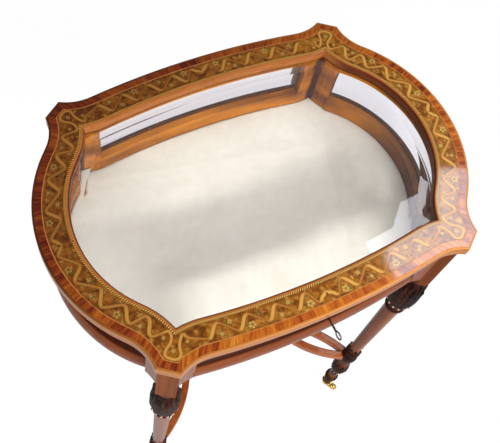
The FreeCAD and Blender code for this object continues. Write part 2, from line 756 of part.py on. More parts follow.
staple = lock_box(-half_staple, half_staple, staple_low, key_depth, staple_width / 2)
eye = lock_box(-half_staple, half_staple, eye_low, hook_outer_radius + staple_gap,
               half_layer + staple_gap)
strike = box(Vector(lock_left - strike_lap, lock_front_y, lid_bottom),
             Vector(lock_right + strike_lap, -(half_depth - rabbet_inset) - staple_gap,
                    lid_bottom + leaf_thickness))
strike = strike.fuse(staple).cut(eye).removeSplitter()

lock_case = box(Vector(lock_left, lock_front_y, key_z - lock_floor),
                Vector(lock_right, lock_back_y, lid_bottom))
hook_way = sector(hook_outer_radius, arm_start - sweep_margin, hook_end + bolt_turn + sweep_margin,
                  lock_gap)
staple_way = lock_box(-half_staple, half_staple, staple_low, key_depth, staple_width / 2, staple_gap)
shaft_hole = rod(Vector(0, lock_front_y, key_z), Vector(0, lock_back_y - lock_wall, key_z),
                 key_shaft_radius + running_clearance)
# The hook swings in a closed hollow, which opens only into the ways of the staple and the key.
for way in (staple_way, shaft_hole, disc(bit_length + bolt_wall, lock_gap), hook_way):
    lock_case = lock_case.cut(way)
parts["lock_case"] = lock_case

bow_middle_y = rail_front_y - key_reach + key_bow_radius + key_bow_wire
shaft_end_y = lock_back_y - lock_wall - key_end_gap
key = rod(Vector(0, bow_middle_y + key_bow_radius, key_z), Vector(0, shaft_end_y, key_z), key_shaft_radius)
key = key.fuse(Part.makeTorus(key_bow_radius, key_bow_wire, Vector(0, bow_middle_y, key_z), ALONG_X))
key = key.fuse(lock_box(-half_bit, half_bit, -bit_length, 0, half_layer))
parts["key"] = key.removeSplitter()

escutcheon_radius = bit_length + lock_gap + escutcheon_margin
escutcheon_back_y = rail_front_y + escutcheon_let_in
plate_seat = rod(Vector(0, rail_front_y - escutcheon_proud, key_z),
                 Vector(0, escutcheon_back_y, key_z), escutcheon_radius)
keyhole = rod(Vector(0, rail_front_y - escutcheon_proud, key_z), Vector(0, lock_front_y, key_z),
              key_shaft_radius + keyhole_clearance)
keyhole = keyhole.fuse(box(Vector(-half_bit - lock_gap, rail_front_y - escutcheon_proud,
                                  key_z - bit_length - lock_gap),
                           Vector(half_bit + lock_gap, lock_front_y, key_z)))
parts["escutcheon"] = plate_seat.cut(keyhole)

strike_screw_inset = screw_head_radius + staple_gap
for at_x in (lock_left - strike_lap + strike_screw_inset, lock_right + strike_lap - strike_screw_inset):
    lid_screws.append(screw(Vector(at_x, layer_y, lid_bottom), UP, leaf_screw_length))

# Screws up through the base board into the bottom rails
board_screw_inset = board_inset + board_screw_margin + screw_head_radius / 2
for side, (centre, radius, heading, opening_half) in SIDES.items():
    for share in (-0.6, 0.6):
        turn = math.radians(heading) + share * math.asin(opening_half / radius)
        reach = radius - board_screw_inset
        at = centre + Vector(math.cos(turn), math.sin(turn), 0) * reach + UP * case_bottom
        case_screws.append(screw(at, UP, board_screw_length))

# Cuts that the fittings and screws need, then the pieces that carry them ----------------

lid_fittings = lid_leaves + barrel_notches + [strike] + lid_screws
lid_fitted = lid_frame
for fitting in lid_fittings:
    lid_fitted = lid_fitted.cut(fitting)
for notch in barrel_notches:
    edge_moulding = edge_moulding.cut(notch)
parts["lid_edge_moulding"] = edge_moulding
for side in SIDES:
    parts["lid_%s_rail" % side] = mitred(lid_fitted, side)
for screw_shape in lid_screws:
    strike = strike.cut(screw_shape)
    lid_leaves = [leaf.cut(screw_shape) for leaf in lid_leaves]
parts["lock_strike_plate"] = strike
parts["lid_hinge_leaves"] = Part.makeCompound(lid_leaves)
parts["lid_screws"] = Part.makeCompound(lid_screws)

for name, rail in rails.items():
    if name == "top_rail_back":
        for leaf in case_leaves:
            rail = rail.cut(leaf)
    if name == "top_rail_front":
        rail = rail.cut(box(Vector(lock_left, lock_front_y, key_z - lock_floor),
                            Vector(lock_right, lock_back_y + lock_depth, lid_bottom)))
        rail = rail.cut(plate_seat).cut(keyhole)
    for screw_shape in case_screws:
        rail = rail.cut(screw_shape)
    parts[name] = rail
for screw_shape in case_screws:
    parts["base_board"] = parts["base_board"].cut(screw_shape)
    case_leaves = [leaf.cut(screw_shape) for leaf in case_leaves]
parts["case_hinge_leaves"] = Part.makeCompound(case_leaves)
parts["hinge_pins"] = Part.makeCompound(pins)
parts["case_screws"] = Part.makeCompound(case_screws)

# Write ----------------------------------------------------------------------------------

os.makedirs("parts", exist_ok=True)
for node, shape in sorted(parts.items()):
    shape.exportStep("parts/%s.step" % node)
    bounds = shape.BoundBox
    print("%-24s solids %2d valid %s volume %10.1f  z %7.2f %7.2f" % (
        node, len(shape.Solids), shape.isValid(), shape.Volume, bounds.ZMin, bounds.ZMax))
print(len(parts), "nodes")
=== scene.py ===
"""Collectors display table: a shaped, glazed case with a hinged lid, on four turned legs.

Metres, +Z up. The origin is on the floor under the middle of the table, and the lock and key
are on the -Y side.
"""
import math

import bmesh
import bpy
from mathutils import Matrix, Vector
from mathutils.geometry import interpolate_bezier


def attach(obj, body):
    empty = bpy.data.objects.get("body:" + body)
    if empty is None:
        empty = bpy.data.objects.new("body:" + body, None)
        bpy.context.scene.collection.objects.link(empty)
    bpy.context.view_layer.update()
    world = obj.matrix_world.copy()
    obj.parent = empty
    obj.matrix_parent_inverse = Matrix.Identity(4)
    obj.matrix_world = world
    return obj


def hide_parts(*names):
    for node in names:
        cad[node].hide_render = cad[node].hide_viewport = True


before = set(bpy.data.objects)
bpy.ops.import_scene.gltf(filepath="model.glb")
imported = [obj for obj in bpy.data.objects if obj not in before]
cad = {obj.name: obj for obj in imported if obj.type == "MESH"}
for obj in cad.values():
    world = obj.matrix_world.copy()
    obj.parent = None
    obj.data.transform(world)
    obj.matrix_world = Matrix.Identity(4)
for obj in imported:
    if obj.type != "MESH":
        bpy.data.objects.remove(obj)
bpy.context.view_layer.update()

# Camera: the view of someone who stands at the front left and looks down into the case, with a
# small shift for the framing.


def linked(name, data):
    """Puts an object of a mesh, lamp or camera into the scene."""
    made = bpy.data.objects.new(name, data)
    bpy.context.collection.objects.link(made)
    return made


camera = linked("camera", bpy.data.cameras.new("camera"))
camera.location = (-0.34140, -0.38906, 1.57697)
camera.rotation_euler = (0.494732, -0.092445, -0.438877)
camera.data.sensor_width = 36
camera.data.lens = 52.164
camera.data.shift_x = 0.08364
camera.data.shift_y = -0.02852
bpy.context.scene.camera = camera
bpy.context.scene.view_settings.view_transform = "Standard"

# Studio: a white floor that keeps the shadow of the table, under a white surround that is dim
# in gloss. A low window lamp at the front throws the shadow of the lid frame on the velvet.
white = (1.0, 1.0, 1.0, 1.0)
floor_reach, floor_glow = 6.0, 1.07
seen_share, mirrored_share, through_share = 0.9, 0.7, 0.92
lit_level, mirrored_level, seen_level = 0.25, 0.18, 1.0


class Socket:
    """An output of a node. Arithmetic on it adds Math nodes. A material is built from a start that
    has no output and only says which tree the nodes go into."""

    def __init__(self, tree, out=None):
        self.tree, self.out = tree, out

    def add(self, kind, settings=None, values=None, out=0):
        """Adds a node with its settings and the values of its inputs, and gives one output."""
        node = self.tree.nodes.new(kind)
        for name, setting in (settings or {}).items():
            if name == "stops":
                band = node.color_ramp
                for element, stop in zip(band.elements, (setting[0], setting[-1])):
                    element.position, element.color = stop
                for position, colour in setting[1:-1]:
                    band.elements.new(position).color = colour
            else:
                setattr(node, name, setting)
        for name, value in (values or {}).items():
            if isinstance(value, Socket):
                self.tree.links.new(value.out, node.inputs[name])
            else:
                node.inputs[name].default_value = value
        return Socket(self.tree, node.outputs[out] if node.outputs else None)

    def math(self, operation, *values):
        return self.add("ShaderNodeMath", {"operation": operation}, dict(enumerate(values)))

    def vector_math(self, operation, *others, out="Vector"):
        return self.add("ShaderNodeVectorMath", {"operation": operation},
                        dict(enumerate((self,) + others)), out)

    def axis(self, name):
        return self.add("ShaderNodeSeparateXYZ", None, {"Vector": self}, name)

    def alone(self, operation):
        return self.math(operation, self)

    def at_least(self, other):
        return self.math("MAXIMUM", self, other)

    def at_most(self, other):
        return self.math("MINIMUM", self, other)

    def __add__(self, other):
        return self.math("ADD", self, other)

    def __sub__(self, other):
        return self.math("SUBTRACT", self, other)

    def __rsub__(self, other):
        return self.math("SUBTRACT", other, self)

    def __mul__(self, other):
        return self.math("MULTIPLY", self, other)

    def __truediv__(self, other):
        return self.math("DIVIDE", self, other)

    def __lt__(self, other):
        return self.math("LESS_THAN", self, other)

    def __gt__(self, other):
        return self.math("GREATER_THAN", self, other)

    __radd__ = __add__
    __rmul__ = __mul__


def new_finish(name):
    material = bpy.data.materials.new(name)
    material.use_nodes = True
    material.node_tree.nodes.clear()
    return material, Socket(material.node_tree)


def own_place(start):
    return start.add("ShaderNodeTexCoord", out="Object")


def on_ray(start, kind):
    return start.add("ShaderNodeLightPath", out="Is %s Ray" % kind)


def glow(start, colour, strength):
    return start.add("ShaderNodeEmission", None, {"Color": colour, "Strength": strength})


def shader_mix(start, share, first, second):
    return start.add("ShaderNodeMixShader", None, {0: share, 1: first, 2: second})


def show(start, shader, output="ShaderNodeOutputMaterial"):
    start.add(output, None, {"Surface": shader})


def meshed(name, shape, material):
    """Puts an object of a shape, in one material, into the scene."""
    mesh = bpy.data.meshes.new(name)
    shape.to_mesh(mesh)
    shape.free()
    mesh.materials.append(material)
    return linked(name, mesh)


floor_paint, start = new_finish("floor paint")
matt = start.add("ShaderNodeBsdfDiffuse", None, {"Color": (0.54, 0.52, 0.59, 1.0)})
# Painted shadow: seen through the glass, the floor glows less towards the back, as if the table's shadow
# lay there.
behind = (own_place(start).axis("Y") * 2.4 - 0.75).at_least(0.0).at_most(0.75)
share = (on_ray(start, "Camera") * seen_share).at_least(on_ray(start, "Glossy") * mirrored_share)
share = share.at_least(on_ray(start, "Transmission") * (through_share - behind))
show(start, shader_mix(start, share, matt, glow(start, white, floor_glow)))
shape = bmesh.new()
bmesh.ops.create_circle(shape, cap_ends=True, segments=64, radius=floor_reach)
floor = meshed("floor", shape, floor_paint)

world = bpy.data.worlds.new("surround")
world.use_nodes = True
world.node_tree.nodes.clear()
start = Socket(world.node_tree)
lit, mirrored, seen = [start.add("ShaderNodeBackground", None, {"Color": white, "Strength": level})
                       for level in (lit_level, mirrored_level, seen_level)]
surround = shader_mix(start, on_ray(start, "Glossy"), lit, mirrored)
straight = on_ray(start, "Camera").at_least(on_ray(start, "Transmission"))
show(start, shader_mix(start, straight, surround, seen), "ShaderNodeOutputWorld")
bpy.context.scene.world = world


def lamp(name, place, target, width, depth, power, glossy):
    light = bpy.data.lights.new(name, "AREA")
    light.shape, light.size, light.size_y, light.energy = "RECTANGLE", width, depth, power
    holder = linked(name, light)
    holder.location = place
    holder.rotation_euler = (Vector(target) - Vector(place)).to_track_quat("-Z", "Y").to_euler()
    holder.visible_glossy = glossy


lamp("ceiling lamp", place=(0.1, 0.5, 2.7), target=(0.0, 0.0, 0.7),
     width=1.8, depth=1.2, power=6, glossy=False)
lamp("window lamp", place=(-0.30, -2.38, 2.03), target=(0.0, 0.0, 0.64),
     width=3.0, depth=0.20, power=120, glossy=True)

# Card: a white card hung over the front right corner, which only polish and glass show. Its cut
# edge is the edge of the white reflection in them.
card_height = 2.26
card_edge = ((0.875, -0.2), (0.888, 0.225), (1.08, 0.405), (1.18, 0.412), (1.29, 0.47), (1.46, 0.405),
             (1.75, 0.3), (1.75, -0.2))
card_light, start = new_finish("card light")
show(start, glow(start, (0.88, 0.91, 1.0, 1.0), 9.5))
shape = bmesh.new()
shape.faces.new([shape.verts.new((x, y, card_height)) for x, y in card_edge])
card = meshed("card", shape, card_light)
card.visible_camera = card.visible_diffuse = card.visible_transmission = card.visible_shadow = False

# Legs: turned from square stuff and polished, with a carved capital under a square block.
# The block is canted to face outwards, and the carving is darker than the plain shaft.
leg_x, leg_y, ear_angle = 0.205, 0.1795, math.radians(53.5)
block_bottom = 0.615
figure_size = 0.16


def shade(red, green, blue):
    """A colour as it looks, from 0 to 255, turned into light."""
    return tuple((part / 255) ** 2.2 for part in (red, green, blue)) + (1.0,)


def mixed(start, first, second, share, way="MIX"):
    """Two colours mixed. Sockets 0, 6 and 7 of the node are the share and the colours."""
    return start.add("ShaderNodeMix", {"data_type": "RGBA", "blend_type": way},
                     {0: share, 6: first, 7: second}, out=2)


def ramp(share, *stops):
    """A colour that runs through stops, each a (share, colour)."""
    return share.add("ShaderNodeValToRGB", {"stops": stops}, {0: share})


def stretched(place, scale):
    return place.add("ShaderNodeMapping", {"vector_type": "POINT"}, {"Vector": place, "Scale": scale})


def noise(place, scale, detail, roughness=0.5, distortion=0.0, out=0):
    return place.add("ShaderNodeTexNoise", None,
                     {"Vector": place, "Scale": scale, "Detail": detail, "Roughness": roughness,
                      "Distortion": distortion}, out)


def bumped(relief, strength, depth):
    return relief.add("ShaderNodeBump", None,
                      {"Strength": strength, "Distance": depth, "Height": relief})


def grain(place, scale, size=1.0):
    """Noise drawn out along the grain. scale is per metre each way, at fibre size."""
    return noise(stretched(place, scale), size, 4.0, 0.6)


def polished(start, colour, relief, roughness=0.3, coat=0.3, depth=0.00005):
    shader = start.add("ShaderNodeBsdfPrincipled", None,
                       {"Base Color": colour, "Roughness": roughness, "Specular IOR Level": 0.08,
                        "Coat Weight": coat, "Coat Roughness": 0.05,
                        "Normal": bumped(relief, 0.35, depth)})
    show(start, shader)


def clad(material, *names):
    for name in names:
        for place in cad[name].material_slots:
            place.material = material


leg_polish, start = new_finish("leg wood")
place = own_place(start)
leg_grain = (240.0, 240.0, 9.0)
fibre = grain(place, leg_grain)
tone = (fibre * 0.5 + grain(place, leg_grain, figure_size) * 0.9 - 0.7) * 1.9 + 0.5
plain = mixed(start, shade(78, 38, 18), shade(134, 76, 42), tone)
deep = mixed(start, shade(16, 7, 4), shade(56, 26, 14), fibre)
height = place.axis("Z")
stains = [(0.000, 0.4), (0.036, 0.5), (0.056, 0.9), (0.074, 0.9), (0.077, 0.3), (0.097, 0.3),
          (0.106, 0.95), (0.160, 0.95), (0.172, 0.55), (0.188, 0.5), (0.200, 0.9), (0.252, 1.0),
          (0.258, 0.1), (0.264, 0.0), (0.488, 0.0), (0.493, 0.9), (0.610, 1.0), (0.617, 0.1)]
stain = ramp(height, *[(level, (share,) * 3 + (1.0,)) for level, share in stains])
stain = start.add("ShaderNodeSeparateColor", None, {"Color": stain})
block = height > block_bottom
polished(start, mixed(start, plain, deep, stain), fibre, stain * 0.3 + block * 0.3 + 0.3,
         (1.0 - stain) * (1.0 - block) * 0.07)
clad(leg_polish, "leg_fl", "leg_fr", "leg_bl", "leg_br")

carved, start = new_finish("carved wood")
place = own_place(start)
# Paler on ridges, partly rubbed wear and partly painted highlight, and darker in creases with painted
# shade.
rubbed_ridges_and_shaded_creases = (start.add("ShaderNodeNewGeometry", out="Pointiness") - 0.5) * 7 + 0.35
chiselled = start.add("ShaderNodeTexVoronoi", None, {"Vector": place, "Scale": 210.0})
# Painted shade: the hollows between the chiselled cells are darkened nearly to black.
tone = rubbed_ridges_and_shaded_creases * 0.6 + grain(place, (240.0, 240.0, 20.0)) * 0.3 - chiselled * 0.7 + 0.2
polished(start, mixed(start, shade(10, 4, 2), shade(88, 44, 22), tone), 1.0 - chiselled,
         roughness=0.55, coat=0.0, depth=0.0014)

# The beads are a paler wood than the carving round them, and their pale colour also stands for the
# highlights they catch: painted highlight.
pearl_wood_with_painted_highlight, start = new_finish("pearl wood")
fibre = grain(own_place(start), (400.0, 400.0, 60.0))
polished(start, mixed(start, shade(150, 100, 70), shade(226, 192, 160), fibre), fibre,
         roughness=0.25, coat=0.8)


def capital_swell(height):
    """Radius of the capital, which swells from its ring to its widest part and then draws in."""
    points = ((0.505, 0.0155), (0.550, 0.0210), (0.606, 0.0145))
    total = 0.0
    for here, radius in points:
        for there, _ in points:
            if there != here:
                radius *= (height - there) / (here - there)
        total += radius
    return total


def bulb_swell(height):
    """Radius of the bulb of the foot, which draws in from its middle both ways."""
    middle, widest = 0.148, 0.0166
    reach, drop = (0.025, 0.0044) if height > middle else (0.030, 0.0056)
    rise = (height - middle) / reach
    return widest - drop * rise * rise


def flare(height):
    """Radius of the collar over the stretchers, which spreads below its neck."""
    neck, neck_radius, spread = 0.250, 0.0112, 0.3
    return neck_radius + max(0.0, neck - height) * spread


def leaves(shape, low, high, width, lift, swell, offset, lobes, curl):
    """A ring of carved leaves round the Z axis. Their edges run into the wood behind."""
    count = 8
    for number in range(count):
        middle = math.tau * (number + offset) / count
        leaf = bmesh.ops.create_grid(shape, x_segments=8, y_segments=14, size=1.0)["verts"]
        for vert in leaf:
            across, up = vert.co.x, (vert.co.y + 1) / 2
            # The outline: narrow at the foot, wide in the middle, pointed, and lobed along its edges.
            spread = math.sin(math.pi * min(1.0, up * 0.86 + 0.14)) ** 0.75
            spread *= 1 + 0.16 * math.sin(math.tau * lobes * up)
            # The relief: rounded, with a rib down the middle and a hollow on either side of it.
            body = max(0.0, 1 - across * across) ** 0.5
            rib = 0.35 * math.exp(-(across * 5) ** 2) - 0.22 * math.cos(math.pi * 3 * across) ** 2
            end = min(1.0, 6 * up, 7 * (1 - up))
            rise = lift * (body * (1 + rib) - 0.25) * end - 0.0004
            rise += curl * math.exp(-((up - 0.88) / 0.1) ** 2) * body
            height = low + (high - low) * up
            radius = swell(height) + rise
            turn = middle + across * spread * width / swell(height)
            vert.co = (radius * math.cos(turn), radius * math.sin(turn), height)


def pearls(shape, height, radius, size):
    count = 14
    for number in range(count):
        turn = math.tau * number / count
        place = Matrix.Translation((radius * math.cos(turn), radius * math.sin(turn), height))
        bmesh.ops.create_uvsphere(shape, u_segments=10, v_segments=6, radius=size, matrix=place)


def verts_in(geometry):
    return [item for item in geometry if isinstance(item, bmesh.types.BMVert)]


def at_legs(shape):
    """Copies what was shaped round the Z axis to the four legs."""
    carving = shape.verts[:] + shape.edges[:] + shape.faces[:]
    for x_side, y_side in ((1, 1), (1, -1), (-1, 1), (-1, -1)):
        copy = bmesh.ops.duplicate(shape, geom=carving)["geom"]
        facing = math.atan2(y_side * math.sin(ear_angle), x_side * math.cos(ear_angle))
        place = Matrix.Translation((x_side * leg_x, y_side * leg_y, 0)) @ Matrix.Rotation(facing, 4, "Z")
        bmesh.ops.transform(shape, matrix=place, verts=verts_in(copy))
    bmesh.ops.delete(shape, geom=verts_in(carving))
    return shape


def piece(name, shape, material, body, stands_for=(), smooth=True):
    """Makes an object of a shape, which rides on a body and may stand for plain nodes."""
    bmesh.ops.recalc_face_normals(shape, faces=shape.faces)
    for face in shape.faces:
        face.smooth = smooth
    made = meshed(name, shape, material)
    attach(made, body)
    if stands_for:
        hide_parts(*stands_for)
    return made


capital_pearls, bulb_pearls = 0.5225, 0.1265
shape = bmesh.new()
leaves(shape, 0.508, 0.598, 0.0070, 0.0026, capital_swell, offset=0.5, lobes=4.0, curl=0.0018)
leaves(shape, 0.511, 0.612, 0.0052, 0.0021, capital_swell, offset=0.0, lobes=4.0, curl=0.0018)
piece("capital_leaves", at_legs(shape), carved, "case")
shape = bmesh.new()
pearls(shape, capital_pearls, capital_swell(capital_pearls) + 0.0014, 0.0019)
pearls(shape, bulb_pearls, bulb_swell(bulb_pearls) + 0.0006, 0.0015)
piece("leg_pearls", at_legs(shape), pearl_wood_with_painted_highlight, "case")
shape = bmesh.new()
leaves(shape, 0.2435, 0.267, 0.0040, 0.0015, flare, offset=0.5, lobes=1.0, curl=0.0030)
leaves(shape, 0.2435, 0.260, 0.0036, 0.0012, flare, offset=0.0, lobes=1.0, curl=0.0022)
leaves(shape, 0.128, 0.172, 0.0048, 0.0012, bulb_swell, offset=0.5, lobes=3.0, curl=0.0006)
piece("leg_leaves", at_legs(shape), carved, "case")

# Stretchers: four incurved bars of a paler wood than the legs, with round tenons in the hubs of
# the legs and half laps where they cross.
even_grain = (60.0, 60.0, 60.0)
pore_size = 3.2


def wood(name, pale, dark, scale, contrast=1.6, pores=0.35, roughness=0.3, coat=0.3):
    """Straight-grained wood that lies along the object's own axes."""
    material, start = new_finish(name)
    place = own_place(start)
    fibre = grain(place, scale)
    tone = (fibre * 0.6 + grain(place, scale, figure_size) * 0.7 - 0.65) * contrast + 0.5
    pore = tuple(part * 0.35 for part in dark[:3]) + (1.0,)
    colour = mixed(start, mixed(start, dark, pale, tone), pore,
                   (grain(place, scale, pore_size) < 0.4) * pores)
    polished(start, colour, fibre, roughness, coat)
    return material


stretcher_polish = wood("stretcher wood", shade(178, 98, 48), shade(118, 56, 22), even_grain, coat=0.2)
clad(stretcher_polish, "stretcher_front", "stretcher_back", "stretcher_left", "stretcher_right")

# Castors: cast brass cups on the feet of the legs, each with a forked horn that swivels under it
# and a brass wheel that rolls in the fork.
brass, start = new_finish("brass")
place = own_place(start)
tarnish = noise(place, 190.0, 5.0, 0.65)
scuff = noise(place, 900.0, 2.0)
colour = mixed(start, shade(150, 108, 52), shade(236, 206, 128), (tarnish - 0.5) * 3 + 0.62)
show(start, start.add("ShaderNodeBsdfPrincipled", None,
                      {"Base Color": colour, "Metallic": 0.92,
                       "Roughness": tarnish * 0.25 + scuff * 0.1 + 0.1,
                       "Normal": bumped(tarnish, 0.25, 0.00008)}))
clad(brass, "castor_cups", *("castor_%s_%s" % (part, leg) for part in ("horn", "wheel")
                             for leg in ("fl", "fr", "bl", "br")))

# Case: corner posts with upright grain, and bowed rails with the grain along them. The bottom
# rails are rounded like a cushion outside, and the wood has kept its gold colour inside.
half_width, half_depth = 0.3015, 0.2095
long_bow, end_bow = 1.150, 0.209
long_centre = Vector((0, half_depth - long_bow, 0))
end_centre = Vector((half_width - end_bow, 0, 0))
along_x, along_y, upright = (9.0, 240.0, 240.0), (240.0, 9.0, 240.0), (240.0, 240.0, 10.0)
recess_shade_inset, golden_inset = 0.0145, 0.0280


def case_wood(name, scale, *bows):
    """Wood with painted shade beside the glass outside, and golden inside with a painted shadow towards
    the front right. bows are (centre, radius).
    """
    material, start = new_finish(name)
    place = own_place(start)
    quarter = place.vector_math("ABSOLUTE")
    inset = 1.0
    for centre, radius in bows:
        level = quarter.vector_math("SUBTRACT", centre).vector_math("MULTIPLY", (1.0, 1.0, 0.0))
        reach = level.vector_math("LENGTH", out="Value")
        inset = (radius - reach).at_most(inset)
    inside = inset > golden_inset
    fibre = grain(place, scale)
    tone = (fibre * 0.6 + grain(place, scale, figure_size) * 0.7 - 0.65) * 1.7 + 0.5
    outer = mixed(start, shade(78, 34, 14), shade(140, 76, 36), tone)
    # Painted shade: outside, the wood darkens towards the glass, where the recess under the lid lies in
    # shadow.
    outer = mixed(start, outer, shade(58, 26, 14), (inset - recess_shade_inset) * 500)
    patch = noise(stretched(place, (9.0, 9.0, 60.0)), 1.0, 2.0)
    inner = mixed(start, shade(66, 26, 4), shade(158, 94, 10), tone * 0.7 + patch * 2.0 - 0.75)
    # Painted shadow: inside, the golden wood darkens towards the front right.
    shadow = place.vector_math("DOT_PRODUCT", (4.0, -4.0, 0.0), out="Value") - 0.5
    shaded = mixed(start, inner, (0.22, 0.16, 0.12, 1.0), 1.0, "MULTIPLY")
    inner = mixed(start, inner, shaded, shadow)
    polished(start, mixed(start, outer, inner, inside), fibre, 0.35, (1.0 - inside) * 0.2)
    return material


post_polish = case_wood("post wood", upright, (long_centre, long_bow), (end_centre, end_bow))
clad(post_polish, "corner_post_fl", "corner_post_fr", "corner_post_bl", "corner_post_br")
rail_x = case_wood("long rail wood", along_x, (long_centre, long_bow))
rail_y = case_wood("end rail wood", along_y, (end_centre, end_bow))
for level in ("bottom", "top"):
    clad(rail_x, level + "_rail_front", level + "_rail_back")
    clad(rail_y, level + "_rail_left", level + "_rail_right")

# Floor of the case: a thin deal board screwed up under the rails, and on it a padded board in
# cream velvet, with its pile brushed in soft patches.
board_wood = wood("board wood", shade(190, 146, 96), shade(140, 96, 56), along_x,
                  contrast=1.2, pores=0.2, roughness=0.6, coat=0.0)
clad(board_wood, "base_board")
ear_out = Vector((math.cos(ear_angle), math.sin(ear_angle), 0))
ear_across = Vector((-ear_out.y, ear_out.x, 0))
ear_reach = 0.0215
ear_middle = Vector((leg_x, leg_y, 0)) + ear_out * ear_reach
flank = 0.067
long_flank = Vector((0.172215, 0.264250, 0))
end_flank = Vector((0.297200, 0.185130, 0))
weld = 0.00002


def ear_corner(centre, inset, side):
    """Where a flank meets the face of the ear at an inset, as a distance across the ear."""
    away = centre - ear_middle
    reach = math.sqrt((flank + inset) ** 2 - (away.dot(ear_out) + inset) ** 2)
    return away.dot(ear_across) - side * reach


def rim(shape, inset, height):
    """Draws a quarter of the outline of the lid, at an inset, and gives its vertices in order."""
    def swung(vert, centre, end, count):
        turn = (vert.co.xy - centre.xy).angle_signed(end.xy - centre.xy)
        known = set(shape.verts)
        bmesh.ops.spin(shape, geom=[vert], cent=(centre.x, centre.y, height), axis=(0, 0, -1),
                       dvec=(0, 0, 0), angle=turn, steps=count)
        return [item for item in shape.verts if item not in known]

    near, far = ear_corner(long_flank, inset, 1), ear_corner(end_flank, inset, -1)
    if near > far:
        corners = [ear_middle - ear_out * inset + ear_across * across for across in (near, far)]
    else:
        # Further in, the flanks meet before the face of the ear, in one sharp corner.
        between = end_flank - long_flank
        drop = math.sqrt((flank + inset) ** 2 - (between.length / 2) ** 2)
        meeting = (long_flank + end_flank) / 2 + Vector((between.y, -between.x, 0)).normalized() * drop
        corners = [meeting + ear_across * 0.00005, meeting - ear_across * 0.00005]
    path = [shape.verts.new((0, half_depth - inset, height))]
    path += swung(path[-1], long_centre, long_flank, 44)
    path += swung(path[-1], long_flank, corners[0], 18)
    path += bmesh.ops.extrude_vert_indiv(shape, verts=[path[-1]])["verts"]
    path[-1].co = (corners[1].x, corners[1].y, height)
    path += swung(path[-1], end_flank, end_centre, 24)
    path += swung(path[-1], end_centre, end_centre + Vector((1, 0, 0)), 40)
    return path


def edges_in(geometry):
    return [item for item in geometry if isinstance(item, bmesh.types.BMEdge)]


def rims(levels, closed=True):
    """Grows a moulding from loops of the outline, each an (inset, height), with a UV map. U runs
    from the middle of each side to the middle of the next, and V is the inset."""
    shape = bmesh.new()
    spot = shape.verts.layers.int.new("spot")
    along = shape.verts.layers.float.new("along")
    across = shape.verts.layers.float.new("across")
    quarter_chart = 0.4
    for number, (inset, height) in enumerate(levels + levels[:1] if closed else levels):
        drawn = bmesh.new() if number else shape
        path = rim(drawn, inset, height)
        places = [vert.co.copy() for vert in path]
        steps = [(there - here).length for here, there in zip(places, places[1:])]
        if number:
            drawn.free()
            grown = bmesh.ops.extrude_edge_only(shape, edges=edges)["geom"]
            edges, loop = edges_in(grown), verts_in(grown)
        else:
            for step, vert in enumerate(path):
                vert[spot] = step
            for flip in ((-1, 1, 1), (1, -1, 1)):
                copy = bmesh.ops.duplicate(shape, geom=shape.verts[:] + shape.edges[:])["geom"]
                bmesh.ops.scale(shape, vec=flip, verts=verts_in(copy))
                bmesh.ops.remove_doubles(shape, verts=shape.verts, dist=weld)
            loop, edges = shape.verts[:], shape.edges[:]
        for vert in loop:
            place = places[vert[spot]]
            vert.co = (math.copysign(place.x, vert.co.x), math.copysign(place.y, vert.co.y), height)
            vert[along] = quarter_chart * sum(steps[:vert[spot]]) / sum(steps)
            vert[across] = inset
    if closed:
        bmesh.ops.remove_doubles(shape, verts=shape.verts, dist=weld)
    chart = shape.loops.layers.uv.new("band")
    for face in shape.faces:
        for corner in face.loops:
            corner[chart].uv = (corner.vert[along], corner.vert[across])
    return shape


pad_edge, pad_low, pad_top = 0.0430, 0.6341, 0.6399
on_top = pad_top - 0.0001
pad_levels = [(pad_edge + 0.0004, pad_low), (pad_edge, pad_low + 0.0012), (pad_edge, pad_top - 0.0022),
              (pad_edge + 0.0006, pad_top - 0.0010), (pad_edge + 0.0018, pad_top - 0.0003),
              (pad_edge + 0.0040, pad_top)]
shape = rims(pad_levels, closed=False)
across = shape.verts.layers.float["across"]
for vert in shape.verts:
    # Near the corners the pad keeps inside the bow of the end rails, which runs on to the posts.
    away = Vector((abs(vert.co.x), abs(vert.co.y))) - end_centre.xy
    reach = end_bow - vert[across]
    if away.length > reach and away.y < away.x * 1.16:
        away *= reach / away.length
        vert.co.x = math.copysign(end_centre.x + away.x, vert.co.x)
        vert.co.y = math.copysign(away.y, vert.co.y)
edges = [edge for edge in shape.edges if edge.is_boundary and edge.verts[0].co.z > on_top]
for share in (0.985, 0.97, 0.95, 0.93, 0.92, 0.91, 0.9, 0.89, 0.875, 0.85, 0.8, 0.7, 0.5):
    grown = bmesh.ops.extrude_edge_only(shape, edges=edges)["geom"]
    edges = edges_in(grown)
    bmesh.ops.scale(shape, vec=(share, share, 1), verts=verts_in(grown))
bmesh.ops.edgeloop_fill(shape, edges=[edge for edge in shape.edges if edge.is_boundary])
for vert in shape.verts:
    if vert.co.z > on_top:
        x, y = vert.co.xy
        soft = math.sin(x * 31 + 1.3) * math.cos(y * 37 - 0.6) + 0.6 * math.sin(x * 67 - y * 53)
        vert.co.z += 0.00022 * soft + 0.0006 * (1 - (x / 0.26) ** 2) * (1 - (y / 0.17) ** 2)
velvet, start = new_finish("cream velvet")
place = own_place(start)
brushed = noise(place, 11.0, 4.0, 0.6, 0.6)
mottle = noise(place, 85.0, 4.0, 0.7)
tone = (brushed - 0.5) * 1.3 + (mottle - 0.5) * 0.9 + 0.5
show(start, start.add("ShaderNodeBsdfPrincipled", None,
                      {"Base Color": mixed(start, shade(188, 182, 166), shade(212, 207, 194), tone),
                       "Roughness": 0.95, "Specular IOR Level": 0.15, "Sheen Weight": 0.2,
                       "Sheen Roughness": 0.4, "Normal": bumped(brushed, 0.1, 0.0003)}))
pad = piece("velvet_cover", shape, velvet, "case", ["velvet_pad"])

